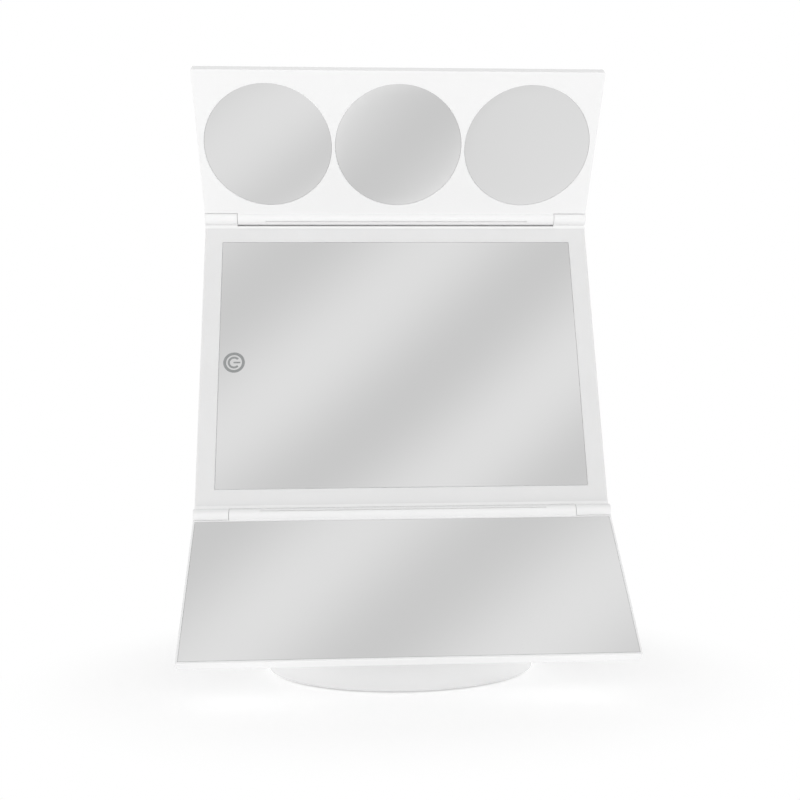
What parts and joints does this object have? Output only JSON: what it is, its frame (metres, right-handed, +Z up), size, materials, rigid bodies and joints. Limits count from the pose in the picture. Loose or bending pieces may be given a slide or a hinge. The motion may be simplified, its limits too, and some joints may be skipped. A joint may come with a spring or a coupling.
{
  "type": "folding vanity mirror",
  "caption": "Table vanity mirror on a round base: landscape centre mirror in a frosted light border, with a plain wing hinged below and a wing of round magnifying mirrors above.",
  "frame": {"origin": "centre of the round base's underside, on the table", "axes": "+Z up, +X along the wing hinges to the right as seen from the front, the mirrors look towards -Y"},
  "size_m": [0.28, 0.2329, 0.4143],
  "materials": {
    "white_gloss": "moulded white, glossy",
    "white_satin": "moulded white, satin",
    "white_paint": "white powder coat, satin",
    "frosted": "frosted diffusing acrylic",
    "silvered_glass": "silvered glass with a ground edge",
    "rubber_grey": "matt grey rubber",
    "steel": "zinc plated steel",
    "ballast_steel": "plain steel plate",
    "inlet_metal": "nickel plated shell",
    "spring_brass": "spring brass",
    "contact_metal": "nickel plated spring steel",
    "cell_jacket": "plain grey cell jacket",
    "board": "circuit board",
    "slide_plastic": "low-friction plastic"
  },
  "bodies": {
    "base": {"base_cover": "white_gloss", "base_plate": "white_satin", "base_feet": "rubber_grey", "base_screws": "steel", "battery_door": "white_satin", "door_screw": "steel", "aa_cell_1": "cell_jacket", "aa_cell_2": "cell_jacket", "aa_cell_3": "cell_jacket", "aa_cell_4": "cell_jacket", "leaf_contacts": "contact_metal", "sheet_contacts": "contact_metal", "ballast_plate": "ballast_steel", "supply_inlet": "inlet_metal", "inlet_board": "board", "stem_tube": "white_paint", "stem_washer": "steel", "stem_nut": "steel", "stem_collar": "white_gloss", "stem_head": "white_paint", "friction_washers": "slide_plastic"},
    "bracket": {"tilt_bracket": "white_paint", "tilt_bolt": "steel", "tilt_nut": "steel", "slide_washer": "slide_plastic"},
    "head": {"turn_hub": "white_gloss", "hub_retainer": "steel", "retainer_screws": "steel", "hub_screws": "steel", "centre_frame": "white_gloss", "rear_cover": "white_gloss", "case_screws": "steel", "light_border": "frosted", "centre_mirror": "silvered_glass", "light_strip_left": "board", "light_strip_right": "board", "light_strip_top": "board", "light_strip_bottom": "board", "driver_board": "board", "touch_sensor": "board", "hinge_pins": "steel"},
    "upper_wing": {"upper_wing_shell": "white_gloss", "upper_wing_bezel": "white_gloss", "magnifier_left": "silvered_glass", "magnifier_middle": "silvered_glass", "magnifier_right": "silvered_glass", "upper_friction_sleeves": "spring_brass"},
    "lower_wing": {"lower_wing_shell": "white_gloss", "lower_mirror": "silvered_glass", "lower_friction_sleeves": "spring_brass"}
  },
  "joints": [
    {"name": "tilt", "type": "hinge", "parent": "base", "child": "bracket", "pos_m": [0, 0, 0.2096], "axis": [-1, 0, 0], "range_deg": [-5, 25]},
    {"name": "turn", "type": "hinge", "parent": "bracket", "child": "head", "pos_m": [0, 0, 0.2096], "axis": [0, -0.9724, 0.2334], "range_deg": [0, 90]},
    {"name": "upper_wing_hinge", "type": "hinge", "parent": "head", "child": "upper_wing", "pos_m": [0, -0.01608, 0.32638], "axis": [1, 0, 0], "range_deg": [-27.1, 126.5]},
    {"name": "lower_wing_hinge", "type": "hinge", "parent": "head", "child": "lower_wing", "pos_m": [0, -0.06735, 0.11285], "axis": [-1, 0, 0], "range_deg": [0, 153.6]}
  ]
}
